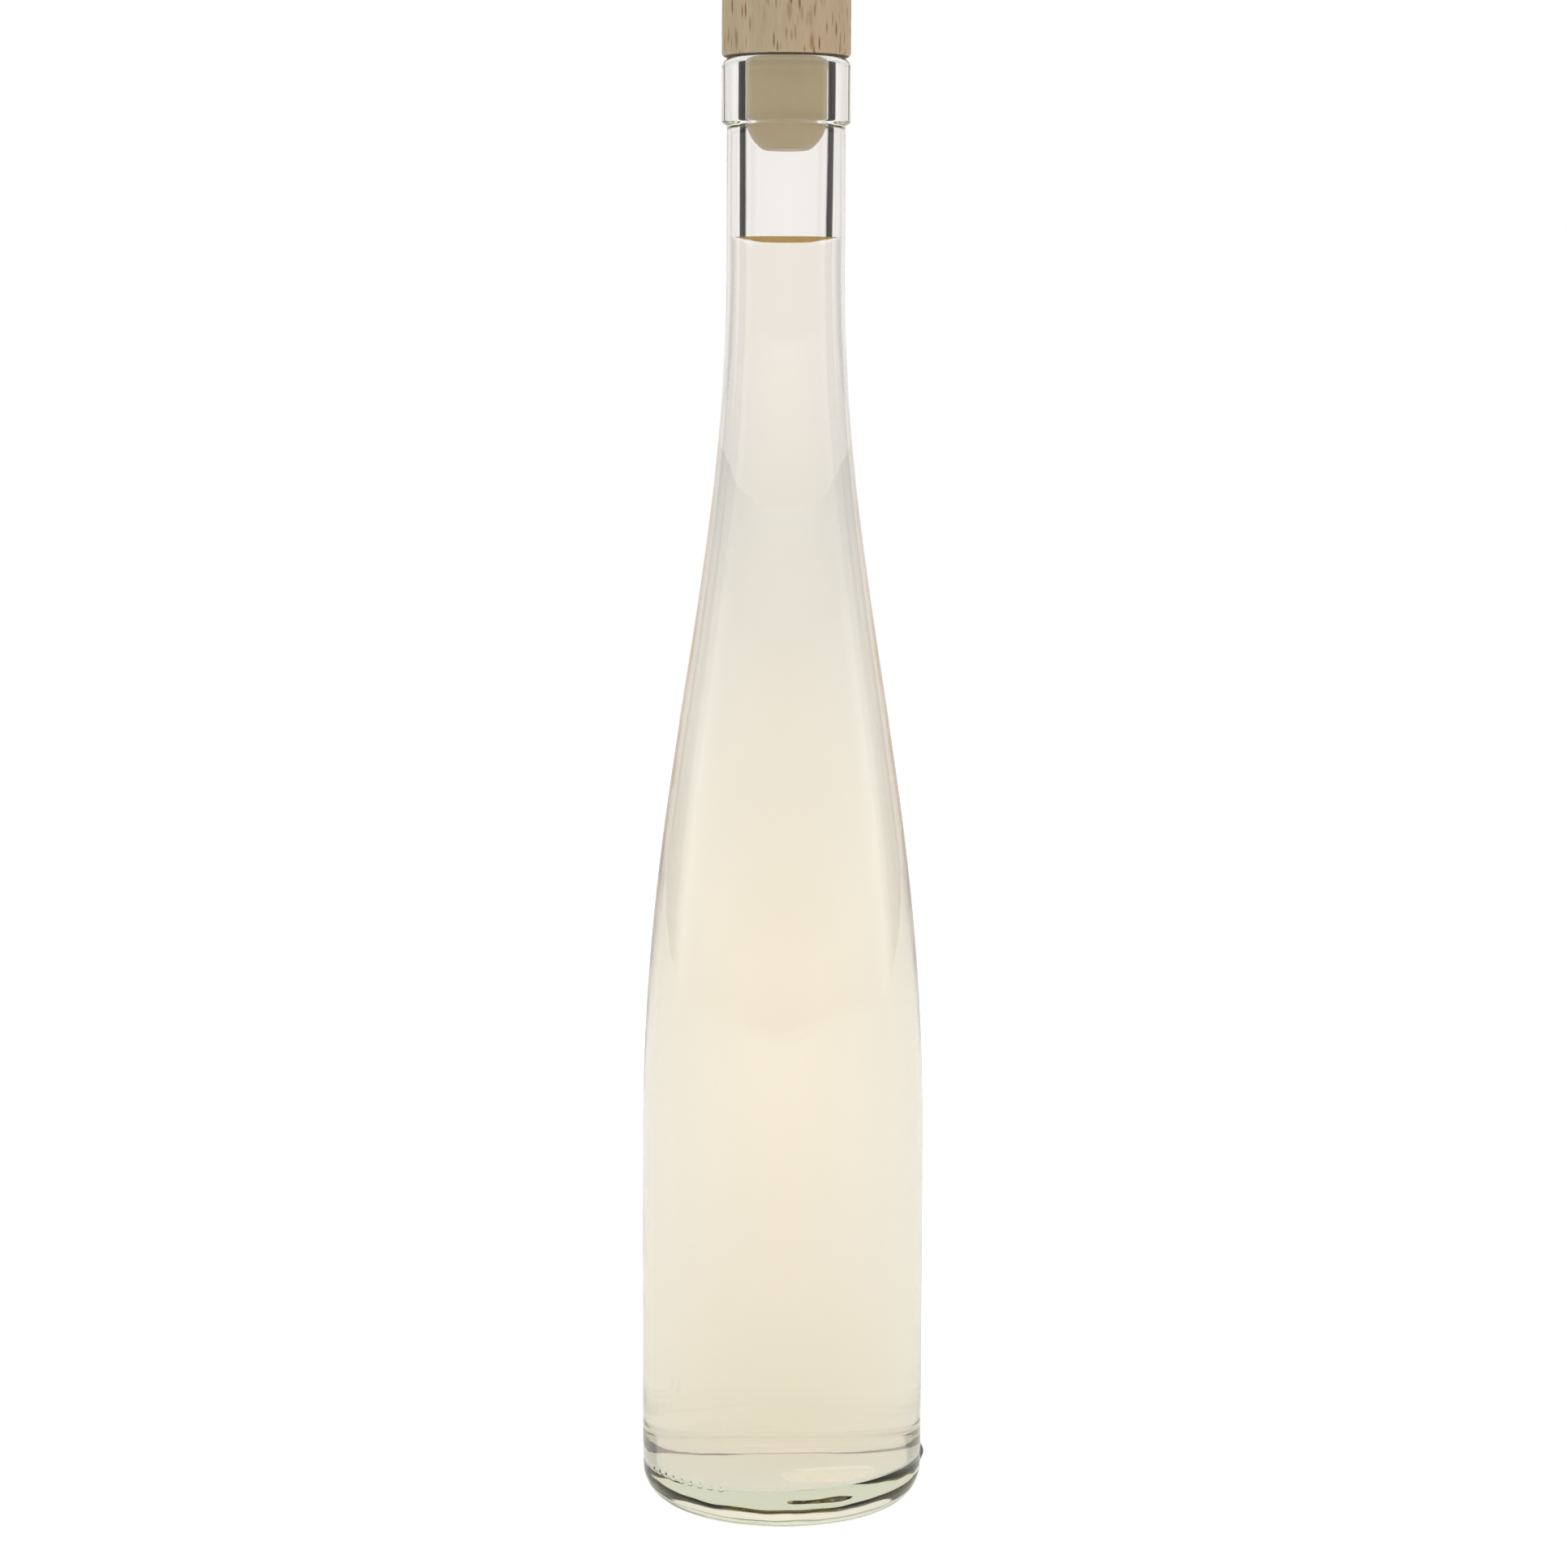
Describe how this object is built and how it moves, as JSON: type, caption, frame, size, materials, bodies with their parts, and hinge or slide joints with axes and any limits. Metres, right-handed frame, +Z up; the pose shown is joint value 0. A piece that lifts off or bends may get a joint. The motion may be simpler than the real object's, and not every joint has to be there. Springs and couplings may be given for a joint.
{
  "type": "glass bottle",
  "caption": "Slender clear-glass flute bottle, filled and closed by a wooden-headed stopper that pulls straight up out of the cork mouth.",
  "frame": {"origin": "on the surface the bottle stands on, under the centre of its base", "axes": "+Z up along the bottle's axis, from the base to the stopper; +X towards the small lug on the heel; -Y faces the picture's camera"},
  "size_m": [0.0657, 0.065, 0.3514],
  "materials": {
    "clear_glass": "fire-polished flint glass",
    "liquid": "clear pale straw liquid",
    "beech": "turned and sanded beech, unlacquered",
    "shank_polymer": "moulded satin elastomer",
    "glue": "set glue"
  },
  "bodies": {
    "bottle": {"glass_bottle": "clear_glass", "liquid": "liquid"},
    "stopper": {"stopper_head": "beech", "stopper_shank": "shank_polymer", "glue_layer": "glue"}
  },
  "joints": [
    {"name": "stopper_slide", "type": "slide", "parent": "bottle", "child": "stopper", "axis": [0, 0, 1], "range_m": [0, 0.06]}
  ]
}
